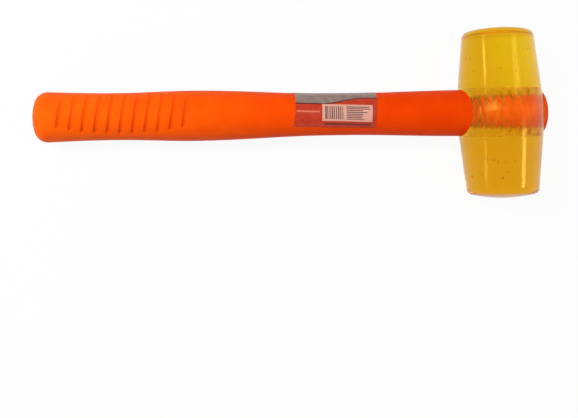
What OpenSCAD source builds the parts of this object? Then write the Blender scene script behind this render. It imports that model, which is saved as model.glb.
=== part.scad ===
// Soft face hammer: a translucent double-cone head moulded round the ribbed end of a hollow handle,
// with a printed label and a small sticker on the handle's neck.
// Frame: the origin is where the handle's axis crosses the head's axis. +X runs along the handle to its
// open front lip, +Y along the head to a striking face, and +Z up through the middle of the label side.

/* [Overall] */
// Length of the hammer from the butt to the front lip
overall_len = 300; // [270:1:340]
// Distance from the head's axis to the front lip
lip_reach = 25.2; // [22:0.1:30]

/* [Head] */
// Length between the crowns of the two striking faces
head_len = 102.8; // [84:0.1:130]
// Diameter at the crease round the middle
head_mid_d = 52.7; // [46:0.1:62]
// Diameter at each rim
head_end_d = 43; // [34:0.1:46]
// Radius of the crowned striking faces
crown_r = 83; // [50:1:200]
// Rounding of the rims
rim_round = 2.8; // [0.8:0.1:4]

/* [Handle] */
// Diameter of the grip at the butt
butt_d = 28.5; // [25:0.1:34]
// Diameter of the grip's waist
waist_d = 26.8; // [23:0.1:32]
// Diameter of the swell in front of the grip
swell_d = 29.1; // [25:0.1:36]
// Diameter of the neck under the label
neck_d = 24.8; // [22:0.1:30]
// Diameter where the handle goes into the head
entry_d = 27.8; // [24:0.1:30]
// Radius of the shallow dome on the butt
butt_dome_r = 30; // [22:0.5:60]
// Rounding between the dome and the grip
butt_round = 7.5; // [3:0.1:9]
// Place of the waist, as a share of the length from the butt to the head's axis
waist_share = 0.167; // [0.13:0.001:0.2]
// Place of the swell, as the same share
swell_share = 0.33; // [0.28:0.001:0.38]
// Place where the neck becomes straight, as the same share
neck_start_share = 0.614; // [0.55:0.001:0.62]
// Place where the neck begins to flare, as the same share
neck_end_share = 0.643; // [0.63:0.001:0.7]

/* [Bore] */
// Diameter of the straight bore behind the front lip
bore_d = 18.2; // [14:0.1:19]
// Depth of the straight bore
bore_straight_len = 47; // [36:1:60]
// Diameter of the drafted bore at its blind end
bore_end_d = 15; // [11:0.1:17]
// Rounding of the bore's blind end
bore_end_round = 4; // [2:0.1:5]
// Thickness of the closed butt
butt_wall = 7; // [5:0.1:12]
// Rounding of the front lip's outer edge
lip_round = 1.6; // [0.6:0.1:2.2]
// Rounding of the bore's mouth
mouth_round = 0.6; // [0.2:0.1:0.8]

/* [Ribbed eye] */
// Number of rings on the handle inside the head
rib_count = 9; // [5:1:9]
// Distance from ring to ring
rib_pitch = 4.5; // [3:0.1:4.6]
// Height of a ring
rib_height = 0.3; // [0.2:0.05:2]
// Width of a ring's crest, as a share of the pitch
rib_crest_share = 0.24; // [0.2:0.01:0.45]
// Width of a ring's foot, as a share of the pitch
rib_foot_share = 0.86; // [0.5:0.01:0.88]
// Gap between the head's eye and the handle
eye_gap = 0.06; // [0.02:0.01:0.15]

/* [Grip grooves] */
// Number of grooves on each side of the grip
groove_count = 11; // [5:1:11]
// Distance from groove to groove
groove_pitch = 6.9; // [5:0.1:7.2]
// Distance from the butt to the middle of the first groove
groove_start = 15.4; // [13:0.1:18]
// Depth of a groove
groove_depth = 0.8; // [0.2:0.05:0.9]
// Width of a groove at the surface
groove_w = 2.4; // [1.4:0.1:3]
// Slant of the grooves, in degrees
groove_slant = 8; // [0:0.5:14]
// Turn of the groove field from +Z towards +Y, in degrees
groove_roll = 9; // [0:1:20]
// Half the arc of the longest groove, in degrees
groove_half_arc = 60; // [40:1:75]
// Half the arc of the first and last groove, as a share of the longest
groove_end_share = 0.67; // [0.4:0.01:1]

/* [Label and sticker] */
// Length of the label along the handle
label_len = 48.2; // [35:0.1:56]
// Distance from the head's axis to the middle of the label
label_back = 103.4; // [98:0.1:112]
// Slant of the label's ends, in degrees
label_slant = 5; // [0:0.5:10]
// Lower edge of the label, in degrees from +Z towards +Y
label_low = -41; // [-60:1:-35]
// Upper edge of the label, in the same degrees
label_high = 139; // [100:1:160]
// Thickness of the label
label_t = 0.15; // [0.1:0.01:0.3]
// Length of the sticker along the handle
sticker_len = 29.6; // [20:0.1:32]
// Distance from the middle of the label to the middle of the sticker
sticker_ahead = 6.5; // [0:0.1:8]
// Lower edge of the sticker, in the same degrees
sticker_low = -23; // [-32:1:-15]
// Upper edge of the sticker, in the same degrees
sticker_high = 22; // [10:1:30]
// Thickness of the sticker
sticker_t = 0.12; // [0.08:0.01:0.3]
// Thickness left for the glue under each film
glue_gap = 0.03; // [0.02:0.01:0.1]

/* [Hidden] */
$fn = 64;

// How far a cutting shape runs past what it cuts
overrun = 2;
// Straight steps along a round edge, and along a long blend of the handle
arc_steps = 6;
blend_steps = 10;

// Radii
mid_r = head_mid_d / 2;
end_r = head_end_d / 2;
butt_r = butt_d / 2;
waist_r = waist_d / 2;
swell_r = swell_d / 2;
neck_r = neck_d / 2;
entry_r = entry_d / 2;
crest_r = entry_r + rib_height;
bore_r = bore_d / 2;
bore_end_r = bore_end_d / 2;

// Places along the handle
butt_x = lip_reach - overall_len;
handle_len = -butt_x;
waist_x = butt_x + waist_share * handle_len;
swell_x = butt_x + swell_share * handle_len;
neck_start_x = butt_x + neck_start_share * handle_len;
neck_end_x = butt_x + neck_end_share * handle_len;
flare_end_x = -rib_pitch * rib_count / 2;
bore_straight_x = lip_reach - bore_straight_len;
bore_end_x = butt_x + butt_wall;

// The butt's rounding touches the dome inside and the grip's side
butt_round_centre_r = butt_r - butt_round;
butt_dome_arc = asin(butt_round_centre_r / (butt_dome_r - butt_round));
butt_round_x = butt_x + butt_dome_r - (butt_dome_r - butt_round) * cos(butt_dome_arc);

// The rim's rounding touches the crown inside and the cone's side
rim_centre_r = end_r - rim_round;
crown_arc = asin(rim_centre_r / (crown_r - rim_round));
crown_centre_y = head_len / 2 - crown_r;
rim_centre_y = crown_centre_y + (crown_r - rim_round) * cos(crown_arc);
cone_slope = atan((mid_r - end_r) / rim_centre_y);

// A groove's round cutter
groove_cutter_r = (groove_w * groove_w / 4 + groove_depth * groove_depth) / (2 * groove_depth);

// Points of an arc round c, from angle a to angle b, in the plane of radius and axis
function arc(c, r, a, b, steps = arc_steps) =
    [for (i = [0:steps]) let (t = a + (b - a) * i / steps) [c[0] + r * cos(t), c[1] + r * sin(t)]];

// A value that leaves a and reaches b with no slope at either end
function blend(a, b, t) = a + (b - a) * (1 - cos(180 * t)) / 2;

// How far x is from a to b, as a share
function part_way(x, a, b) = (x - a) / (b - a);

// Radius of the handle between the butt's rounding and the ribbed eye
function handle_r(x) =
    x < waist_x ? waist_r + (butt_r - waist_r) * pow(part_way(x, waist_x, butt_round_x), 2) :
    x < swell_x ? blend(waist_r, swell_r, part_way(x, waist_x, swell_x)) :
    x < neck_start_x ? blend(swell_r, neck_r, part_way(x, swell_x, neck_start_x)) :
    x < neck_end_x ? neck_r :
    x < flare_end_x ? blend(neck_r, entry_r, part_way(x, neck_end_x, flare_end_x)) :
    entry_r;

// Points of the handle's side from a to b, without b itself
function side(a, b, steps = blend_steps) =
    [for (i = [0:steps - 1]) let (x = a + (b - a) * i / steps) [handle_r(x), x]];

// Points of the rings inside the head, larger all round by gap
function rings(gap) =
    [for (i = [0:rib_count - 1])
        let (x = (i - (rib_count - 1) / 2) * rib_pitch,
             crest = rib_crest_share * rib_pitch / 2 + gap,
             foot = rib_foot_share * rib_pitch / 2 + gap)
        each [[entry_r + gap, x - foot], [crest_r + gap, x - crest],
              [crest_r + gap, x + crest], [entry_r + gap, x + foot]]];

// Half the arc of groove i: the ends of the grooves lie on an oval
function groove_arc(i) =
    let (off = 2 * i / (groove_count - 1) - 1)
    groove_half_arc * sqrt(1 - (1 - groove_end_share * groove_end_share) * off * off);

// Turns an outline of [radius, place] about the handle's axis; angles run from +Y to +Z
module turn_on_handle(from = 0, arc = 360) {
    rotate([90, 0, 90])
        rotate_extrude(start = from, angle = arc)
            children();
}

// Turns an outline of [radius, place] about the head's axis
module turn_on_head() {
    rotate([-90, 0, 0])
        rotate_extrude()
            children();
}

module handle_section() {
    dome = arc([0, butt_x + butt_dome_r], butt_dome_r, -90, butt_dome_arc - 90);
    rounding = arc([butt_round_centre_r, butt_round_x], butt_round, butt_dome_arc - 90, 0);
    lip = arc([entry_r - lip_round, lip_reach - lip_round], lip_round, 0, 90);
    mouth = arc([bore_r + mouth_round, lip_reach - mouth_round], mouth_round, 90, 180);
    blind_end = arc([bore_end_r - bore_end_round, bore_end_x + bore_end_round], bore_end_round, 0, -90);
    polygon(concat(
        dome,
        [for (i = [1:arc_steps - 1]) rounding[i]],
        side(butt_round_x, waist_x),
        side(waist_x, swell_x),
        side(swell_x, neck_start_x),
        side(neck_start_x, neck_end_x, 1),
        side(neck_end_x, flare_end_x),
        rings(0),
        lip,
        mouth,
        [[bore_r, bore_straight_x]],
        blind_end,
        [[0, bore_end_x]]));
}

// One groove: part of a ring that lies across the grip, slanted
module groove(i) {
    x = butt_x + groove_start + i * groove_pitch;
    ring_r = handle_r(x) - groove_depth + groove_cutter_r;
    translate([x, 0, 0])
        rotate([0, 0, -groove_slant])
            turn_on_handle(90 - groove_roll - groove_arc(i), 2 * groove_arc(i))
                translate([ring_r, 0])
                    circle(groove_cutter_r, $fn = 24);
}

// A film on the neck between two places and two angles, at a height above the handle
module film(back, front, low, high, height, thickness) {
    inner = [for (i = [0:blend_steps]) let (x = back + (front - back) * i / blend_steps)
        [handle_r(x) + height, x]];
    outer = [for (p = inner) [p[0] + thickness, p[1]]];
    turn_on_handle(90 - high, high - low)
        polygon(concat(inner, [for (i = [blend_steps:-1:0]) outer[i]]));
}

module handle() {
    color([0.98, 0.33, 0.05])
        difference() {
            turn_on_handle()
                handle_section();
            for (side_turn = [0, 180], i = [0:groove_count - 1])
                rotate([side_turn, 0, 0])
                    groove(i);
        }
}

module head_section() {
    crown = arc([0, crown_centre_y], crown_r, 90, 90 - crown_arc);
    rim = arc([rim_centre_r, rim_centre_y], rim_round, 90 - crown_arc, cone_slope);
    half = concat(crown, [for (i = [1:arc_steps]) rim[i]]);
    last = len(half) - 1;
    polygon(concat(half, [[mid_r, 0]], [for (i = [last:-1:0]) [half[i][0], -half[i][1]]]));
}

module eye_section() {
    reach = mid_r + overrun;
    polygon(concat([[0, -reach], [entry_r + eye_gap, -reach]], rings(eye_gap),
        [[entry_r + eye_gap, reach], [0, reach]]));
}

module head() {
    color([0.88, 0.66, 0.06, 0.75])
        difference() {
            turn_on_head()
                head_section();
            turn_on_handle()
                eye_section();
        }
}

// The label's film is cut to length by the slanted ends of a block
module label() {
    half = label_len / 2 + swell_r * tan(label_slant) + overrun;
    across = 2 * (swell_r + overrun);
    color([0.78, 0.27, 0.13])
        intersection() {
            film(-label_back - half, -label_back + half, label_low, label_high, glue_gap, label_t);
            translate([-label_back, 0, 0])
                rotate([0, 0, -label_slant])
                    cube([label_len * cos(label_slant), across, across], center = true);
        }
}

module sticker() {
    color([0.96, 0.88, 0.84])
        film(-label_back + sticker_ahead - sticker_len / 2, -label_back + sticker_ahead + sticker_len / 2,
            sticker_low, sticker_high, label_t + 2 * glue_gap, sticker_t);
}

handle();
head();
label();
sticker();
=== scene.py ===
"""Soft face hammer: a translucent amber head on a hollow orange handle, lying on a plain white floor."""

import math
import random

import bmesh
import bpy
import numpy as np
from mathutils import Matrix, Vector


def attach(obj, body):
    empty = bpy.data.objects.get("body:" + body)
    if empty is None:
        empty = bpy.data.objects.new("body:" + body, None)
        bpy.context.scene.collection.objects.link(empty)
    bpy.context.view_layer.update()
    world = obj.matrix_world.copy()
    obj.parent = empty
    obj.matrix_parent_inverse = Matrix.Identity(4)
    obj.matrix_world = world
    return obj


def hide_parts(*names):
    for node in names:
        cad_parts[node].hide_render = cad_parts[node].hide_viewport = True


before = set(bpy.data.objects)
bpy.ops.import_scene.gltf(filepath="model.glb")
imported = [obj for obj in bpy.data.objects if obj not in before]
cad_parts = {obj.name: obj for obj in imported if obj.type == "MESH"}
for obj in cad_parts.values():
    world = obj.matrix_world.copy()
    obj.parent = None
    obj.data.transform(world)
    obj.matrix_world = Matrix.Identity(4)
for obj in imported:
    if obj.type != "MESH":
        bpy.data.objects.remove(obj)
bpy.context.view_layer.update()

# Handle, in metres and degrees, as the CAD model has it
OVERALL_LEN = 300.0e-3
LIP_X = 25.2e-3
BUTT_X = LIP_X - OVERALL_LEN
BUTT_R = 14.25e-3
WAIST_R = 13.4e-3
SWELL_R = 14.55e-3
NECK_R = 12.4e-3
ENTRY_R = 13.9e-3
BUTT_DOME_R = 30.0e-3
BUTT_ROUND = 7.5e-3
BUTT_ROUND_R = BUTT_R - BUTT_ROUND
BUTT_DOME_ARC = math.degrees(math.asin(BUTT_ROUND_R / (BUTT_DOME_R - BUTT_ROUND)))
BUTT_ROUND_X = BUTT_X + BUTT_DOME_R - (BUTT_DOME_R - BUTT_ROUND) * math.cos(math.radians(BUTT_DOME_ARC))
WAIST_SHARE = 0.167
SWELL_SHARE = 0.33
NECK_START_SHARE = 0.614
NECK_END_SHARE = 0.643
WAIST_X = BUTT_X * (1 - WAIST_SHARE)
SWELL_X = BUTT_X * (1 - SWELL_SHARE)
NECK_START_X = BUTT_X * (1 - NECK_START_SHARE)
NECK_END_X = BUTT_X * (1 - NECK_END_SHARE)
BORE_R = 9.1e-3
BORE_END_R = 7.5e-3
BORE_STRAIGHT_LEN = 47.0e-3
BORE_STRAIGHT_X = LIP_X - BORE_STRAIGHT_LEN
BUTT_WALL = 7.0e-3
BORE_END_X = BUTT_X + BUTT_WALL
BORE_END_ROUND = 4.0e-3
LIP_ROUND = 1.6e-3
MOUTH_ROUND = 0.6e-3

# Rings of the handle inside the head
RIB_COUNT = 9
RIB_PITCH = 4.5e-3
RIB_HEIGHT = 0.3e-3
RIB_CREST_SHARE = 0.24
RIB_FOOT_SHARE = 0.86
RIB_CREST = RIB_CREST_SHARE * RIB_PITCH
RIB_FOOT = RIB_FOOT_SHARE * RIB_PITCH
RIB_ROUND = 0.45e-3
EYE_GAP = 0.06e-3
FLARE_END_X = -RIB_PITCH * RIB_COUNT / 2

# Grooves of the grip: steep on the butt's side, gentle on the other, and fainter towards one end
GROOVE_COUNT = 11
GROOVE_PITCH = 6.9e-3
GROOVE_START = 15.2e-3
GROOVE_START_X = BUTT_X + GROOVE_START
GROOVE_DEPTH = 0.65e-3
GROOVE_FAINT_SHARE = 0.45
GROOVE_STEEP_W = 1.2e-3
GROOVE_GENTLE_W = 2.4e-3
GROOVE_END_W = 1.0e-3
GROOVE_SLANT = math.radians(8)
GROOVE_ROLL = math.radians(9)
GROOVE_HALF_ARC = math.radians(60)
GROOVE_END_SHARE = 0.67

# Head
HEAD_HALF_LEN = 51.4e-3
HEAD_MID_R = 26.33e-3
HEAD_END_R = 21.5e-3
CROWN_R = 83.0e-3
RIM_ROUND = 3.6e-3
EYE_OVERRUN = 4.0e-3

# Bubbles in the head, most of them in its -Y half. Places are shares of its half length and end radius.
BUBBLE_SEED = 5
BUBBLE_COUNT = 28
BUBBLE_R = (0.2e-3, 0.42e-3)
BUBBLE_STRETCH = (1.2, 3.0)
BUBBLE_LEAN = 0.5
BUBBLE_LOW_HALF_SHARE = 0.65
BUBBLE_ALONG_SHARES = (0.42, 0.88)
BUBBLE_OUT_SHARE = 0.85

# Label and sticker on the neck, both stuck on slightly askew
FILM_TURN = math.radians(2)
LABEL_MID_X = -103.4e-3
LABEL_LEN = 48.2e-3
LABEL_ANGLES = (math.radians(-41), math.radians(139))
LABEL_SLANT = math.radians(5)
LABEL_T = 0.15e-3
STICKER_OFFSET = 6.5e-3
STICKER_MID_X = LABEL_MID_X + STICKER_OFFSET
STICKER_LEN = 29.6e-3
STICKER_ANGLES = (math.radians(-23), math.radians(22))
STICKER_T = 0.12e-3
GLUE_GAP = 0.03e-3

# Print on the label: the silver band's wavy edge, then blocks, each from and to in metres along the film
# and in degrees round the handle
SILVER_FROM = (25.5, 47.5)
SILVER_RISE_X = (-112.0e-3, -86.0e-3)
DARK_LINE = 3.4
RULE_BLOCK = ((3.5e-3, 36.0e-3), (49.5, 52))
STRIP_BLOCK = ((0.8e-3, 14.5e-3), (0, 4))
BASE_BLOCK = ((17.0e-3, LABEL_LEN - 3.5e-3), (-33, -28))

# Print on the sticker: bars of chance widths and rows of ragged lines. Widths are shares of the pitch. The
# offsets keep the count of bars and rows positive.
BAR_BLOCK = ((1.3e-3, 12.9e-3), (-17.5, 16))
BAR_PITCH = 1.25e-3
BAR_WIDTH_SHARE = 0.3
BAR_WIDTH_MORE_SHARE = 0.45
BAR_OFFSET = 1000.0
LINE_BLOCK = ((14.2e-3, 28.2e-3), (-18, 18.5))
LINE_PITCH = 4.7
LINE_WIDTH_SHARE = 0.55
LINE_REACH = 23.0e-3
LINE_RAGGED = 6.0e-3
LINE_OFFSET = 100.0

# Fineness of the meshes
FINE_STEP = 0.35e-3
MEDIUM_STEP = 1.5e-3
COARSE_STEP = 3.0e-3
HEAD_STEP = 1.2e-3
EYE_STEP = 1.0e-3
HANDLE_SEGMENTS = 144
HEAD_SEGMENTS = 192
EYE_SEGMENTS = 160
FILM_STEPS = (60, 72)
BUTT_DOME_STEPS = 10
BUTT_ROUND_STEPS = 16
LIP_STEPS = 10
MOUTH_STEPS = 6
BORE_END_STEPS = 8
CROWN_STEPS = 24
RIM_STEPS = 12
SHARP_ANGLE = math.radians(40)

# How near a point lies to the crease round the head's middle, along the head and across it
CREASE_NEAR_Y = 1.0e-6
CREASE_NEAR_R = 1.0e-4

# Colours as they look on screen, 0 to 255. Two tones are the ends of a mottled colour.
GRIP_TONES = ((248, 90, 7), (253, 96, 9))
# Painted shade: the handle darker and redder towards the head
NECK_SHADE_TONES = ((232, 62, 2), (238, 67, 3))
# Painted light: the handle inside the head lighter, as if lit through the clear head
SPIGOT_LIT_TONES = ((248, 90, 5), (253, 98, 8))
# Painted highlight: pale streaks on the rings inside the head
STREAK_HIGHLIGHT_TONE = (255, 150, 105)
# Painted shade: the darker tone laid into the grip's grooves
GROOVE_SHADE_TONE = (205, 54, 1)
SHEEN_TONE = (255, 170, 90)
RED_TONES = ((174, 46, 18), (188, 54, 24))
SILVER_TONES = ((134, 112, 104), (150, 128, 120))
STRIP_TONE = (214, 104, 74)
BASE_TONE = (96, 28, 18)
DARK_LINE_TONE = (70, 26, 18)
RULE_TONE = (126, 108, 100)
PAPER_TONES = ((207, 146, 126), (217, 160, 141))
BAR_TONE = (74, 42, 38)
LINE_TONE = (84, 48, 42)

# Colours of the clear head, as linear light
AMBER = (0.75, 0.47, 0.06, 1.0)
LEMON = (0.88, 0.69, 0.03, 1.0)
LOW_HALF_AMBER = (0.78, 0.47, 0.09, 1.0)
# Painted shade: a deeper amber at the head's ends
END_SHADE_AMBER = (0.8, 0.49, 0.08, 1.0)
EYE_WALL_TINT = (1.0, 1.0, 0.8, 1.0)
MIRROR_TINT = (1.0, 0.65, 0.12, 1.0)
DEPTH_COLOUR = (0.962, 0.878, 0.0, 1.0)
DEPTH_DENSITY = 75.0
WHITE = (1.0, 1.0, 1.0, 1.0)

# Noise: its usual detail, more and less of it, and the span of its values that most ramps use
NOISE_DETAIL = 3.0
MORE_DETAIL = 4.0
LESS_DETAIL = 2.0
NOISE_SPAN = (0.3, 0.7)

# Surface of the handle. The painted highlight streaks are finer along the handle than round it.
# Where the painted shade towards the neck is full
NECK_SHADE_X = -0.06
# Where the painted light on the handle inside the head fades in and out
SPIGOT_FROM_X = (FLARE_END_X - 2.0e-3, FLARE_END_X + 1.0e-3)
SPIGOT_TO_X = (HEAD_MID_R - 2.0e-3, HEAD_MID_R - 5.0e-3)
HANDLE_MOTTLE_SCALE = 90.0
HANDLE_ROUGHNESS = (0.46, 0.54)
HANDLE_IOR = 1.16
GRAIN_SCALE = 2600.0
GRAIN_HEIGHT = 0.02e-3
GRAIN_STRENGTH = 0.5
# Painted highlight streaks: their size, stretch along the handle, span and share
STREAK_SCALE = 130.0
STREAK_STRETCH = 7.0
STREAK_SPAN = (0.52, 0.68)
STREAK_SHARE = 0.8
# Share of the painted shade in the grooves
GROOVE_SHADE_SHARE = 0.7

# Surface of the head
HEAD_IOR = 1.5
HEAD_ROUGHNESS = (0.08, 0.12)
HEAD_CLOUD_SCALE = 60.0
EYE_WALL_R = (ENTRY_R + 1.5e-3, ENTRY_R + 1.2e-3)
EYE_WALL_X = (HEAD_MID_R, HEAD_MID_R - 2.0e-3)
EYE_MATTE = 0.22
END_MATTE = 0.15
END_MATTE_Y = (HEAD_HALF_LEN - 3.2e-3, HEAD_HALF_LEN - 2.6e-3)
# Where the painted shade at the ends starts and where it is full
END_SHADE_Y = (HEAD_HALF_LEN - 7.5e-3, HEAD_HALF_LEN - 4.5e-3)
HALVES_Y = (-0.03, 0.03)
SWIRL_SCALE = 28.0
SWIRL_SHIFT = 0.03
SWIRL_X = (-0.004, 0.018)

# Surface of the label and the sticker
WEAR_SCALE = 300.0
WEAR_SPAN = (0.35, 0.65)
LABEL_ROUGHNESS = 0.3
LABEL_ROUGHNESS_MORE = 0.08
LABEL_SPECULAR = 0.25
SILVER_METALLIC = 0.5
FIBRE_SCALE = 900.0
PAPER_ROUGHNESS = (0.5, 0.6)

# The mix node's colour sockets, which share their names with its other sockets
COLOUR_MIX_INPUTS = (0, 6, 7)
COLOUR_MIX_OUTPUT = 2

# The camera looks down on the hammer from above the swell. Its shift moves the hammer up in the frame.
CAMERA_AT = Vector((-0.20034, -0.03435, 0.49915))
CAMERA_AIM = Vector((-0.12929, 0.00113, 0.0))
CAMERA_UP = Vector((0.01006, 0.99733, 0.07232))
CAMERA_LENS = 53.71
CAMERA_SHIFT_Y = -0.1663
CAMERA_NEAR = 0.01
SENSOR_W = 36.0

# Light of the pale world on the hammer. 1 is the white that is seen, mirrored and seen through the head.
WORLD_LIGHT = 0.16

# Share of the floor that is plain white where it is seen or mirrored. The rest takes light and shadow.
FLOOR_WHITE = 0.94
FLOOR_TONE = (0.8, 0.78, 0.76, 1.0)
FLOOR_HALF_SIZE = 6.0

# Where the large lamps aim
MID_HANDLE = (-0.17, 0, 0)

# Bounces of light, enough to go through the clear head and back
ALL_BOUNCES = 32
MIRROR_BOUNCES = 16
CLEAR_BOUNCES = 24


def arc(centre, radius, start, end, steps):
    """Points of an arc in the plane of radius and axis, angles in degrees."""
    angles = np.radians(np.linspace(start, end, steps + 1))
    return [(centre[0] + radius * math.cos(a), centre[1] + radius * math.sin(a)) for a in angles]


def blend(a, b, t):
    """Goes from a to b with no slope at either end."""
    return a + (b - a) * (1 - math.cos(math.pi * t)) / 2


def handle_radius(x):
    """Radius of the handle between the butt's rounding and the rings."""
    if x < WAIST_X:
        return WAIST_R + (BUTT_R - WAIST_R) * ((x - WAIST_X) / (BUTT_ROUND_X - WAIST_X)) ** 2
    if x < SWELL_X:
        return blend(WAIST_R, SWELL_R, (x - WAIST_X) / (SWELL_X - WAIST_X))
    if x < NECK_START_X:
        return blend(SWELL_R, NECK_R, (x - SWELL_X) / (NECK_START_X - SWELL_X))
    if x < NECK_END_X:
        return NECK_R
    if x < FLARE_END_X:
        return blend(NECK_R, ENTRY_R, (x - NECK_END_X) / (FLARE_END_X - NECK_END_X))
    return ENTRY_R


def rounded(points, radius, steps=3, most_share=0.45):
    """The same open outline with each inner corner rounded."""
    result = [points[0]]
    for before, corner, after in zip(points, points[1:], points[2:]):
        p = Vector(corner)
        a, b = Vector(before) - p, Vector(after) - p
        reach = min(radius, a.length * most_share, b.length * most_share)
        start, end = p + a.normalized() * reach, p + b.normalized() * reach
        for k in range(steps + 1):
            t = k / steps
            q = start * (1 - t) ** 2 + p * 2 * t * (1 - t) + end * t * t
            result.append((q.x, q.y))
    result.append(points[-1])
    return result


def ring_outline(gap):
    """Outline of the rings, larger all round by gap, with rounded edges."""
    points = [(ENTRY_R + gap, FLARE_END_X)]
    for i in range(RIB_COUNT):
        x = (i - (RIB_COUNT - 1) / 2) * RIB_PITCH
        crest, foot = RIB_CREST / 2 + gap, RIB_FOOT / 2 + gap
        points += [(ENTRY_R + gap, x - foot), (ENTRY_R + RIB_HEIGHT + gap, x - crest),
                   (ENTRY_R + RIB_HEIGHT + gap, x + crest), (ENTRY_R + gap, x + foot)]
    points.append((ENTRY_R + gap, -FLARE_END_X))
    return rounded(points, RIB_ROUND)


def spread(start, end, step):
    """Evenly spaced places from start up to but not including end."""
    count = max(1, round(abs(end - start) / step))
    return [start + (end - start) * i / count for i in range(count)]


def turned(outline, segments, axis):
    """Vertex grid of an outline of (radius, place) turned about "X" or "Y". Angles start at +Z."""
    angles = np.arange(segments) * 2 * math.pi / segments
    radius = np.array([p[0] for p in outline])[:, None]
    place = np.array([p[1] for p in outline])[:, None] + 0 * angles[None, :]
    across, up = radius * np.sin(angles), radius * np.cos(angles)
    grid = (place, across, up) if axis == "X" else (across, place, up)
    return np.stack(grid, axis=-1), angles


def grid_mesh(name, grid):
    """A closed mesh from a turned grid whose first and last rows lie on the axis."""
    rows, cols = grid.shape[:2]
    verts = [tuple(grid[0, 0])] + [tuple(v) for v in grid[1:-1].reshape(-1, 3)] + [tuple(grid[-1, 0])]
    last = len(verts) - 1
    faces = []
    for j in range(cols):
        k = (j + 1) % cols
        faces.append((0, 1 + j, 1 + k))
        faces.append((last, last - cols + k, last - cols + j))
        for i in range(rows - 3):
            a = 1 + i * cols
            faces.append((a + j, a + cols + j, a + cols + k, a + k))
    mesh = bpy.data.meshes.new(name)
    mesh.from_pydata(verts, [], faces)
    volume = sum(Vector(p.center).dot(p.normal) * p.area for p in mesh.polygons)
    if volume < 0:
        mesh.flip_normals()
    mesh.polygons.foreach_set("use_smooth", [True] * len(mesh.polygons))
    mesh.update()
    return mesh


def add(name, mesh, material=None):
    """A new object in the scene."""
    obj = bpy.data.objects.new(name, mesh)
    bpy.context.scene.collection.objects.link(obj)
    if material is not None:
        mesh.materials.clear()
        mesh.materials.append(material)
    return obj


def piece(name, mesh, material, node):
    """A piece of the hammer that stands for a CAD node."""
    obj = add(name, mesh, material)
    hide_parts(node)
    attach(obj, "root")


def groove_depths(x, radius, angles):
    """How deep the grooves are at each place of the grip and each angle."""
    depth = np.zeros((len(x), len(angles)))
    x, radius = x[:, None], radius[:, None]
    for turn in (0, math.pi):
        local = (angles - turn + math.pi) % (2 * math.pi) - math.pi
        off_middle = (local - GROOVE_ROLL + math.pi) % (2 * math.pi) - math.pi
        for i in range(GROOVE_COUNT):
            off = 2 * i / (GROOVE_COUNT - 1) - 1
            half_arc = GROOVE_HALF_ARC * math.sqrt(1 - (1 - GROOVE_END_SHARE ** 2) * off * off)
            line_x = GROOVE_START_X + i * GROOVE_PITCH + math.tan(GROOVE_SLANT) * radius * np.sin(local)
            beside = (x - line_x) * math.cos(GROOVE_SLANT)
            aside = np.where(beside < 0, -beside / GROOVE_STEEP_W, beside / GROOVE_GENTLE_W)
            past_end = np.maximum(radius * (np.abs(off_middle) - half_arc) / GROOVE_END_W + 1, 0)
            share = np.minimum(np.hypot(aside, past_end), 1)
            share[:, np.abs(off_middle) > math.pi / 2] = 1
            along = 0.5 - 0.5 * off_middle / half_arc
            full = GROOVE_DEPTH * (GROOVE_FAINT_SHARE + (1 - GROOVE_FAINT_SHARE) * along)
            depth = np.maximum(depth, full * (1 + np.cos(math.pi * share)) / 2)
    return depth


def bore_outline():
    """The bore from the lip's mouth to its blind end: straight, then slightly drafted."""
    mouth = arc((BORE_R + MOUTH_ROUND, LIP_X - MOUTH_ROUND), MOUTH_ROUND, 90, 180, MOUTH_STEPS)
    straight = [(BORE_R, x) for x in spread(LIP_X - MOUTH_ROUND, BORE_STRAIGHT_X, COARSE_STEP)[1:]]
    draft_x = spread(BORE_STRAIGHT_X, BORE_END_X + BORE_END_ROUND, COARSE_STEP)
    draft = [(BORE_R + (BORE_END_R - BORE_R) * i / len(draft_x), x) for i, x in enumerate(draft_x)]
    blind_centre = (BORE_END_R - BORE_END_ROUND, BORE_END_X + BORE_END_ROUND)
    blind = arc(blind_centre, BORE_END_ROUND, 0, -90, BORE_END_STEPS)
    return mouth + straight + draft + blind + [(0, BORE_END_X)]


def handle_mesh():
    """The hollow handle: butt, grooved grip, swell, neck, rings, lip and bore."""
    grip_end = GROOVE_START_X + GROOVE_COUNT * GROOVE_PITCH
    butt = arc((0, BUTT_X + BUTT_DOME_R), BUTT_DOME_R, -90, BUTT_DOME_ARC - 90, BUTT_DOME_STEPS)
    corner = arc((BUTT_ROUND_R, BUTT_ROUND_X), BUTT_ROUND, BUTT_DOME_ARC - 90, 0, BUTT_ROUND_STEPS)
    butt += corner[1:-1]
    side_x = spread(BUTT_ROUND_X, grip_end, FINE_STEP) + spread(grip_end, FLARE_END_X, MEDIUM_STEP)
    side = [(handle_radius(x), x) for x in side_x]
    lip = arc((ENTRY_R - LIP_ROUND, LIP_X - LIP_ROUND), LIP_ROUND, 0, 90, LIP_STEPS)
    outline = butt + side + ring_outline(0) + lip + bore_outline()
    grid, angles = turned(outline, HANDLE_SEGMENTS, "X")
    first, last = len(butt), len(butt) + len(side)
    x, radius = np.array(side_x), np.array([p[0] for p in side])
    depths = groove_depths(x, radius, angles)
    grid[first:last, :, 1:] *= 1 - depths[:, :, None] / radius[:, None, None]
    mesh = grid_mesh("handle_moulding", grid)
    # Painted shade: an attribute that is 1 where a groove is deepest, which the material reads to darken the
    # grooves
    groove_shade = np.zeros(grid.shape[:2])
    groove_shade[first:last] = depths / GROOVE_DEPTH
    values = np.concatenate(([0.0], groove_shade[1:-1].ravel(), [0.0]))
    mesh.attributes.new("groove_shade", "FLOAT", "POINT").data.foreach_set("value", values)
    return mesh


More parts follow.
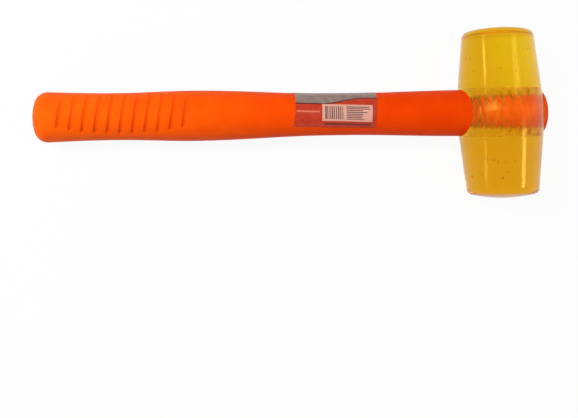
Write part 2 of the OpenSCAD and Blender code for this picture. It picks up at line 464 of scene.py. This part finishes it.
def head_outline():
    """Outline of the head from one crown to the other."""
    rim_r = HEAD_END_R - RIM_ROUND
    crown_arc = math.asin(rim_r / (CROWN_R - RIM_ROUND))
    crown_y = HEAD_HALF_LEN - CROWN_R
    rim_y = crown_y + (CROWN_R - RIM_ROUND) * math.cos(crown_arc)
    slope = math.atan((HEAD_MID_R - HEAD_END_R) / rim_y)
    arc_deg, slope_deg = math.degrees(crown_arc), math.degrees(slope)
    half = arc((0, crown_y), CROWN_R, 90, 90 - arc_deg, CROWN_STEPS)
    half += arc((rim_r, rim_y), RIM_ROUND, 90 - arc_deg, slope_deg, RIM_STEPS)[1:]
    start_r, start_y = half[-1]
    for y in spread(start_y, 0, HEAD_STEP)[1:]:
        half.append((HEAD_MID_R + (start_r - HEAD_MID_R) * y / start_y, y))
    return half + [(HEAD_MID_R, 0)] + [(r, -y) for r, y in reversed(half)]


def eye_mesh():
    """The ribbed hole that the handle fills."""
    reach = HEAD_MID_R + EYE_OVERRUN
    plain_x = spread(-reach, FLARE_END_X, EYE_STEP)
    back = [(ENTRY_R + EYE_GAP, x) for x in plain_x]
    front = [(ENTRY_R + EYE_GAP, -x) for x in reversed(plain_x)]
    outline = [(0, -reach)] + back + ring_outline(EYE_GAP) + front + [(0, reach)]
    grid, _ = turned(outline, EYE_SEGMENTS, "X")
    return grid_mesh("eye", grid)


def add_bubbles(mesh):
    """Small drawn-out hollows inside the head."""
    pick = random.Random(BUBBLE_SEED)
    bm = bmesh.new()
    bm.from_mesh(mesh)
    for _ in range(BUBBLE_COUNT):
        side = -1 if pick.random() < BUBBLE_LOW_HALF_SHARE else 1
        y = side * pick.uniform(*BUBBLE_ALONG_SHARES) * HEAD_HALF_LEN
        out, turn = HEAD_END_R * BUBBLE_OUT_SHARE * math.sqrt(pick.random()), pick.uniform(0, 2 * math.pi)
        size = pick.uniform(*BUBBLE_R)
        long = size * pick.uniform(*BUBBLE_STRETCH)
        at = Matrix.Translation((out * math.sin(turn), y, out * math.cos(turn)))
        lean = Matrix.Rotation(pick.uniform(-BUBBLE_LEAN, BUBBLE_LEAN), 4, "Z")
        shape = Matrix.Diagonal((size, long, size, 1))
        new = bmesh.ops.create_icosphere(bm, subdivisions=2, radius=1.0, matrix=at @ lean @ shape)
        faces = {f for v in new["verts"] for f in v.link_faces}
        bmesh.ops.reverse_faces(bm, faces=list(faces))
    bm.to_mesh(mesh)
    bm.free()


def smooth(mesh):
    """Smooth shading, apart from the sharp edges."""
    mesh.polygons.foreach_set("use_smooth", [True] * len(mesh.polygons))
    mesh.set_sharp_from_angle(angle=SHARP_ANGLE)


def sharpen_crease(mesh):
    """Keeps the edge round the head's middle sharp, though it is a shallow one."""
    crease = mesh.attributes["sharp_edge"].data
    least_r = HEAD_MID_R - CREASE_NEAR_R
    for edge in mesh.edges:
        ends = [mesh.vertices[v].co for v in edge.vertices]
        if all(abs(co.y) < CREASE_NEAR_Y and math.hypot(co.x, co.z) > least_r for co in ends):
            crease[edge.index].value = True


def head_mesh():
    """The head with its eye cut out and a few small bubbles inside."""
    grid, _ = turned(head_outline(), HEAD_SEGMENTS, "Y")
    body = add("head_body", grid_mesh("head_body", grid))
    eye = add("head_eye", eye_mesh())
    cut = body.modifiers.new("eye", "BOOLEAN")
    cut.object = eye
    cut.operation = "DIFFERENCE"
    cut.solver = "EXACT"
    depsgraph = bpy.context.evaluated_depsgraph_get()
    mesh = bpy.data.meshes.new_from_object(body.evaluated_get(depsgraph))
    mesh.name = "head_moulding"
    for obj in (body, eye):
        bpy.data.objects.remove(obj)
    add_bubbles(mesh)
    smooth(mesh)
    sharpen_crease(mesh)
    return mesh


def film_mesh(name, mid_x, length, angles, slant, height, thickness):
    """A thin closed film on the neck, turned a little askew, with slanted ends."""
    steps_x, steps_a = FILM_STEPS
    turns = np.linspace(angles[0], angles[1], steps_a + 1)
    bm = bmesh.new()
    layers = []
    for rise in (height, height + thickness):
        rows = []
        for along in np.linspace(-length / 2, length / 2, steps_x + 1):
            row = []
            for a in turns - math.tan(FILM_TURN) * along / NECK_R:
                x = mid_x + along + math.tan(slant) * NECK_R * math.sin(a)
                r = handle_radius(x) + rise
                row.append(bm.verts.new((x, r * math.sin(a), r * math.cos(a))))
            rows.append(row)
        layers.append(rows)
    low, high = layers
    for i in range(steps_x):
        for j in range(steps_a):
            bm.faces.new((high[i][j], high[i + 1][j], high[i + 1][j + 1], high[i][j + 1]))
            bm.faces.new((low[i][j], low[i][j + 1], low[i + 1][j + 1], low[i + 1][j]))
    for i in range(steps_x):
        bm.faces.new((low[i][0], low[i + 1][0], high[i + 1][0], high[i][0]))
        bm.faces.new((low[i + 1][-1], low[i][-1], high[i][-1], high[i + 1][-1]))
    for j in range(steps_a):
        bm.faces.new((low[0][j + 1], low[0][j], high[0][j], high[0][j + 1]))
        bm.faces.new((low[-1][j], low[-1][j + 1], high[-1][j + 1], high[-1][j]))
    bmesh.ops.recalc_face_normals(bm, faces=bm.faces)
    mesh = bpy.data.meshes.new(name)
    bm.to_mesh(mesh)
    bm.free()
    smooth(mesh)
    return mesh


class Nodes:
    """Short calls for building the node tree of a material or a world."""

    def __init__(self, owner, output="ShaderNodeOutputMaterial"):
        owner.use_nodes = True
        self.tree = owner.node_tree
        self.tree.nodes.clear()
        self.output = self.tree.nodes.new(output)

    def feed(self, socket, value):
        """Links another node's socket, or sets a plain value."""
        if isinstance(value, bpy.types.NodeSocket):
            self.tree.links.new(value, socket)
        else:
            socket.default_value = value

    def put(self, node, name, value):
        self.feed(node.inputs[name], value)

    def new(self, kind, **inputs):
        node = self.tree.nodes.new(kind)
        for name, value in inputs.items():
            self.put(node, name.replace("_", " "), value)
        return node

    def math(self, operation, a, b=0.0, c=0.0):
        node = self.tree.nodes.new("ShaderNodeMath")
        node.operation = operation
        for socket, value in zip(node.inputs, (a, b, c)):
            self.feed(socket, value)
        return node.outputs[0]

    def mix(self, share, a, b):
        node = self.tree.nodes.new("ShaderNodeMix")
        node.data_type = "RGBA"
        for index, value in zip(COLOUR_MIX_INPUTS, (share, a, b)):
            self.feed(node.inputs[index], value)
        return node.outputs[COLOUR_MIX_OUTPUT]

    def mottled(self, share, tones):
        """A colour between two tones."""
        return self.mix(share, rgb(*tones[0]), rgb(*tones[1]))

    def ramp(self, value, low, high, out_low=0.0, out_high=1.0):
        node = self.tree.nodes.new("ShaderNodeMapRange")
        node.interpolation_type = "SMOOTHSTEP"
        for name, v in (("Value", value), ("From Min", low), ("From Max", high),
                        ("To Min", out_low), ("To Max", out_high)):
            self.put(node, name, v)
        return node.outputs["Result"]

    def place(self):
        """Sockets for X, Y and Z in the part's frame, in metres, and the vector itself."""
        coords = self.tree.nodes.new("ShaderNodeTexCoord").outputs["Object"]
        apart = self.tree.nodes.new("ShaderNodeSeparateXYZ")
        self.tree.links.new(coords, apart.inputs[0])
        return apart.outputs[0], apart.outputs[1], apart.outputs[2], coords

    def noise(self, coords, scale, detail=NOISE_DETAIL):
        return self.new("ShaderNodeTexNoise", Vector=coords, Scale=scale, Detail=detail).outputs["Fac"]

    def bump(self, height, distance, strength):
        node = self.new("ShaderNodeBump", Height=height, Distance=distance, Strength=strength)
        return node.outputs["Normal"]

    def by_chance(self, cell):
        """A fixed chance number from 0 to 1 for each whole number."""
        node = self.tree.nodes.new("ShaderNodeTexWhiteNoise")
        node.noise_dimensions = "1D"
        self.put(node, "W", cell)
        return node.outputs["Value"]

    def between(self, value, low, high):
        """1 where value lies between low and high, else 0."""
        above, below = self.math("GREATER_THAN", value, low), self.math("LESS_THAN", value, high)
        return self.math("MULTIPLY", above, below)

    def seen(self):
        """1 for rays from the camera, a mirroring surface or the clear head, 0 for those that only light."""
        path = self.tree.nodes.new("ShaderNodeLightPath").outputs
        either = self.math("MAXIMUM", path["Is Camera Ray"], path["Is Glossy Ray"])
        return self.math("MAXIMUM", either, path["Is Transmission Ray"])

    def surface(self, shader):
        self.tree.links.new(shader.outputs[0], self.output.inputs["Surface"])


def rgb(r, g, b):
    """A colour given as it looks on screen, 0 to 255, as linear light by the sRGB curve."""
    def linear(v):
        v /= 255
        return v / 12.92 if v <= 0.04045 else ((v + 0.055) / 1.055) ** 2.4
    return (linear(r), linear(g), linear(b), 1.0)


def handle_material():
    """Satin moulded orange plastic with a fine grain, painted shade in its grooves and towards the neck, and
    painted light and highlight streaks on its rings.
    """
    material = bpy.data.materials.new("orange_plastic")
    n = Nodes(material)
    x, y, z, coords = n.place()
    mottle = n.noise(coords, HANDLE_MOTTLE_SCALE, MORE_DETAIL)
    share = n.ramp(mottle, *NOISE_SPAN)
    # Painted shade: from the grip's tone to a darker, redder one towards the neck
    tone = n.mix(n.ramp(x, BUTT_X, NECK_SHADE_X), n.mottled(share, GRIP_TONES), n.mottled(share, NECK_SHADE_TONES))
    # Painted light: the handle inside the head lighter, with painted highlight streaks
    inside = n.math("MULTIPLY", n.ramp(x, *SPIGOT_FROM_X), n.ramp(x, *SPIGOT_TO_X))
    # Painted highlight: pale streaks, finer along the handle than round it
    streak_coords = n.new("ShaderNodeCombineXYZ", X=n.math("MULTIPLY", x, STREAK_STRETCH), Y=y, Z=z).outputs[0]
    highlight_streak = n.math("MULTIPLY", n.ramp(n.noise(streak_coords, STREAK_SCALE), *STREAK_SPAN), STREAK_SHARE)
    tone = n.mix(inside, tone, n.mix(highlight_streak, n.mottled(share, SPIGOT_LIT_TONES), rgb(*STREAK_HIGHLIGHT_TONE)))
    # Painted shade: the grooves darkened by how deep they are
    groove_shade = n.tree.nodes.new("ShaderNodeAttribute")
    groove_shade.attribute_name = "groove_shade"
    tone = n.mix(n.math("MULTIPLY", groove_shade.outputs["Fac"], GROOVE_SHADE_SHARE), tone, rgb(*GROOVE_SHADE_TONE))
    grain = n.noise(coords, GRAIN_SCALE, LESS_DETAIL)
    shader = n.new("ShaderNodeBsdfPrincipled", Base_Color=tone, IOR=HANDLE_IOR)
    n.put(shader, "Specular Tint", rgb(*SHEEN_TONE))
    n.put(shader, "Roughness", n.ramp(mottle, *NOISE_SPAN, *HANDLE_ROUGHNESS))
    n.put(shader, "Normal", n.bump(grain, GRAIN_HEIGHT, GRAIN_STRENGTH))
    n.surface(shader)
    return material


def head_tone(n, x, y, coords):
    """Amber with lemon swirls, deeper in the -Y half, and with a painted shade of deeper amber at the ends.
    """
    swirl = n.math("MULTIPLY_ADD", n.noise(coords, SWIRL_SCALE), SWIRL_SHIFT, x)
    yellow = n.mix(n.ramp(swirl, *SWIRL_X), AMBER, LEMON)
    tone = n.mix(n.ramp(y, *HALVES_Y), LOW_HALF_AMBER, yellow)
    # Painted shade: deeper amber towards the ends
    return n.mix(n.ramp(n.math("ABSOLUTE", y), *END_SHADE_Y), tone, END_SHADE_AMBER)


def head_material():
    """Clear amber plastic that darkens with depth, with a duller eye wall and duller ends."""
    material = bpy.data.materials.new("amber_plastic")
    n = Nodes(material)
    x, y, z, coords = n.place()
    cloud = n.noise(coords, HEAD_CLOUD_SCALE)
    from_axis = n.math("SQRT", n.math("ADD", n.math("MULTIPLY", y, y), n.math("MULTIPLY", z, z)))
    eye = n.math("MULTIPLY", n.ramp(from_axis, *EYE_WALL_R), n.ramp(n.math("ABSOLUTE", x), *EYE_WALL_X))
    tone = n.mix(eye, head_tone(n, x, y, coords), EYE_WALL_TINT)
    ends = n.ramp(n.math("ABSOLUTE", y), *END_MATTE_Y)
    matte = n.math("MAXIMUM", n.math("MULTIPLY", eye, EYE_MATTE), n.math("MULTIPLY", ends, END_MATTE))
    shader = n.new("ShaderNodeBsdfPrincipled", Base_Color=tone, IOR=HEAD_IOR, Transmission_Weight=1.0)
    n.put(shader, "Specular Tint", MIRROR_TINT)
    n.put(shader, "Roughness", n.math("ADD", n.ramp(cloud, *NOISE_SPAN, *HEAD_ROUGHNESS), matte))
    n.surface(shader)
    volume = n.new("ShaderNodeVolumeAbsorption", Color=DEPTH_COLOUR, Density=DEPTH_DENSITY)
    n.tree.links.new(volume.outputs[0], n.output.inputs["Volume"])
    return material


def film_angle(n, x, y, z, mid_x):
    """Angle round the handle, measured along a film that is turned askew about its middle."""
    along = n.math("SUBTRACT", x, mid_x)
    return n.math("MULTIPLY_ADD", along, math.tan(FILM_TURN) / NECK_R, n.math("ARCTAN2", y, z))


def print_block(n, x, angle, left, block):
    """1 inside a block of the print on a film whose -X end is at left, else 0."""
    (start, end), turns = block
    low, high = (math.radians(a) for a in turns)
    return n.math("MULTIPLY", n.between(x, left + start, left + end), n.between(angle, low, high))


def label_material():
    """Printed film: a silver band with a wavy edge, a thin dark line, and a red field with plain strips."""
    material = bpy.data.materials.new("label_print")
    n = Nodes(material)
    x, y, z, coords = n.place()
    angle = film_angle(n, x, y, z, LABEL_MID_X)
    left = LABEL_MID_X - LABEL_LEN / 2
    edge = n.ramp(x, *SILVER_RISE_X, *(math.radians(a) for a in SILVER_FROM))
    silver = n.math("GREATER_THAN", angle, edge)
    dark = n.between(angle, n.math("SUBTRACT", edge, math.radians(DARK_LINE)), edge)
    wear = n.ramp(n.noise(coords, WEAR_SCALE, MORE_DETAIL), *WEAR_SPAN)
    tone = n.mottled(wear, RED_TONES)
    tone = n.mix(print_block(n, x, angle, left, STRIP_BLOCK), tone, rgb(*STRIP_TONE))
    tone = n.mix(print_block(n, x, angle, left, BASE_BLOCK), tone, rgb(*BASE_TONE))
    tone = n.mix(dark, tone, rgb(*DARK_LINE_TONE))
    tone = n.mix(silver, tone, n.mottled(wear, SILVER_TONES))
    tone = n.mix(print_block(n, x, angle, left, RULE_BLOCK), tone, rgb(*RULE_TONE))
    shader = n.new("ShaderNodeBsdfPrincipled", Base_Color=tone, Specular_IOR_Level=LABEL_SPECULAR)
    more = n.math("MULTIPLY", wear, LABEL_ROUGHNESS_MORE)
    n.put(shader, "Roughness", n.math("ADD", LABEL_ROUGHNESS, more))
    n.put(shader, "Metallic", n.math("MULTIPLY", silver, SILVER_METALLIC))
    n.surface(shader)
    return material


def sticker_material():
    """Pale paper with a block of plain bars and rows of plain lines."""
    material = bpy.data.materials.new("sticker_paper")
    n = Nodes(material)
    x, y, z, coords = n.place()
    angle = film_angle(n, x, y, z, STICKER_MID_X)
    left = STICKER_MID_X - STICKER_LEN / 2
    bar = n.math("DIVIDE", x, BAR_PITCH)
    width = n.math("MULTIPLY_ADD", n.by_chance(n.math("FLOOR", bar)), BAR_WIDTH_MORE_SHARE, BAR_WIDTH_SHARE)
    bars = n.math("LESS_THAN", n.math("FRACT", n.math("ADD", bar, BAR_OFFSET)), width)
    row = n.math("DIVIDE", angle, math.radians(LINE_PITCH))
    in_row = n.math("LESS_THAN", n.math("FRACT", n.math("ADD", row, LINE_OFFSET)), LINE_WIDTH_SHARE)
    reach = n.math("MULTIPLY_ADD", n.by_chance(n.math("FLOOR", row)), LINE_RAGGED, left + LINE_REACH)
    lines = n.math("MULTIPLY", in_row, n.math("LESS_THAN", x, reach))
    fibre = n.noise(coords, FIBRE_SCALE, MORE_DETAIL)
    tone = n.mottled(fibre, PAPER_TONES)
    bars = n.math("MULTIPLY", print_block(n, x, angle, left, BAR_BLOCK), bars)
    lines = n.math("MULTIPLY", print_block(n, x, angle, left, LINE_BLOCK), lines)
    tone = n.mix(lines, n.mix(bars, tone, rgb(*BAR_TONE)), rgb(*LINE_TONE))
    shader = n.new("ShaderNodeBsdfPrincipled", Base_Color=tone)
    n.put(shader, "Roughness", n.ramp(fibre, *NOISE_SPAN, *PAPER_ROUGHNESS))
    n.surface(shader)
    return material


def floor_material():
    """Plain white, as seen, mirrored and seen through the head, that keeps a faint shadow."""
    material = bpy.data.materials.new("floor_white")
    n = Nodes(material)
    diffuse = n.new("ShaderNodeBsdfDiffuse", Color=FLOOR_TONE)
    glow = n.new("ShaderNodeEmission", Color=WHITE, Strength=1.0)
    both = n.tree.nodes.new("ShaderNodeMixShader")
    share = n.math("MULTIPLY", n.seen(), FLOOR_WHITE)
    for socket, value in zip(both.inputs, (share, diffuse.outputs[0], glow.outputs[0])):
        n.feed(socket, value)
    n.surface(both)
    return material


def make_floor():
    """A large floor that touches the head and the butt of the lying hammer."""
    tilt = math.atan2(HEAD_MID_R - BUTT_R, -BUTT_ROUND_X)
    drop = HEAD_MID_R / math.cos(tilt)
    size = FLOOR_HALF_SIZE
    corners = [(-size, -size, 0), (size, -size, 0), (size, size, 0), (-size, size, 0)]
    mesh = bpy.data.meshes.new("floor")
    mesh.from_pydata(corners, [], [(0, 1, 2, 3)])
    floor = add("floor", mesh, floor_material())
    floor.matrix_world = Matrix.Translation((0, 0, -drop)) @ Matrix.Rotation(tilt, 4, "Y")


def facing(at, aim, up):
    """Matrix of a camera or lamp at a point that looks at another."""
    back = (at - aim).normalized()
    right = up.cross(back).normalized()
    top = back.cross(right)
    turn = Matrix((right, top, back)).transposed().to_4x4()
    return Matrix.Translation(at) @ turn


def area_light(name, at, aim, size, power, up=(0, 1, 0)):
    """A soft white rectangular lamp that faces its aim. Its size is its width and its height along up."""
    data = bpy.data.lights.new(name, "AREA")
    data.shape = "RECTANGLE"
    data.size, data.size_y = size
    data.energy = power
    lamp = bpy.data.objects.new(name, data)
    bpy.context.scene.collection.objects.link(lamp)
    lamp.matrix_world = facing(Vector(at), Vector(aim), Vector(up))


def make_main_lights():
    """Two large lamps on the butt's side, and gentle fills for the open lip and the -Y flank."""
    area_light("key", at=(-0.6, 0.16, 0.6), aim=MID_HANDLE, size=(0.5, 0.12), power=4.2)
    area_light("overhead", at=(-0.38, 0.22, 1.3), aim=MID_HANDLE, size=(0.8, 0.25), power=6.1)
    area_light("front_fill", at=(0.9, 0.07, 0.14), aim=(LIP_X, 0, 0), size=(0.1, 0.16), power=2.8,
               up=(0, 0, 1))
    area_light("side_fill", at=(-0.15, -0.8, 0.45), aim=(-0.15, 0, 0), size=(0.7, 0.15), power=0.7)


def make_streak_lights():
    """Small lamps that the head mirrors as bright streaks, on each side of each half and at one end."""
    area_light("left_upper", at=(-0.862, 0.343, 0.442), aim=(-0.015, 0.032, 0.017), size=(0.04, 0.2),
               power=0.28, up=(0.34, -0.3, 0.89))
    area_light("left_lower", at=(-0.931, -0.217, 0.366), aim=(-0.016, -0.032, 0.016), size=(0.04, 0.2),
               power=0.13, up=(0.3, 0.26, 0.92))
    area_light("right_upper", at=(0.486, 0.327, 0.846), aim=(0.001, 0.029, 0.023), size=(0.3, 0.1),
               power=0.34)
    area_light("right_lower", at=(0.704, -0.189, 0.718), aim=(0.004, -0.029, 0.023), size=(0.22, 0.1),
               power=0.62)
    area_light("right_end", at=(0.701, -0.234, 0.713), aim=(0.004, -0.045, 0.021), size=(0.1, 0.02),
               power=0.12)


def make_world():
    """An even pale world that is white where it is seen, mirrored or seen through the head."""
    world = bpy.data.worlds.new("studio")
    bpy.context.scene.world = world
    n = Nodes(world, "ShaderNodeOutputWorld")
    level = n.new("ShaderNodeMix", Factor=n.seen(), A=WORLD_LIGHT, B=1.0).outputs["Result"]
    n.surface(n.new("ShaderNodeBackground", Color=WHITE, Strength=level))


def make_camera():
    """The camera at the photograph's angle."""
    data = bpy.data.cameras.new("camera")
    data.sensor_fit = "HORIZONTAL"
    data.sensor_width = SENSOR_W
    data.lens = CAMERA_LENS
    data.shift_y = CAMERA_SHIFT_Y
    data.clip_start = CAMERA_NEAR
    camera = bpy.data.objects.new("camera", data)
    bpy.context.scene.collection.objects.link(camera)
    camera.matrix_world = facing(CAMERA_AT, CAMERA_AIM, CAMERA_UP)
    bpy.context.scene.camera = camera


piece("handle_moulding", handle_mesh(), handle_material(), "handle")
piece("head_moulding", head_mesh(), head_material(), "head")
label = film_mesh("label_film", LABEL_MID_X, LABEL_LEN, LABEL_ANGLES, LABEL_SLANT, GLUE_GAP, LABEL_T)
piece("label_film", label, label_material(), "label")
sticker = film_mesh("sticker_paper", STICKER_MID_X, STICKER_LEN, STICKER_ANGLES, FILM_TURN,
                    LABEL_T + 2 * GLUE_GAP, STICKER_T)
piece("sticker_paper", sticker, sticker_material(), "sticker")
make_floor()
make_main_lights()
make_streak_lights()
make_world()
make_camera()
scene = bpy.context.scene
scene.view_settings.view_transform = "Standard"
scene.cycles.max_bounces = ALL_BOUNCES
scene.cycles.glossy_bounces = MIRROR_BOUNCES
scene.cycles.transmission_bounces = CLEAR_BOUNCES
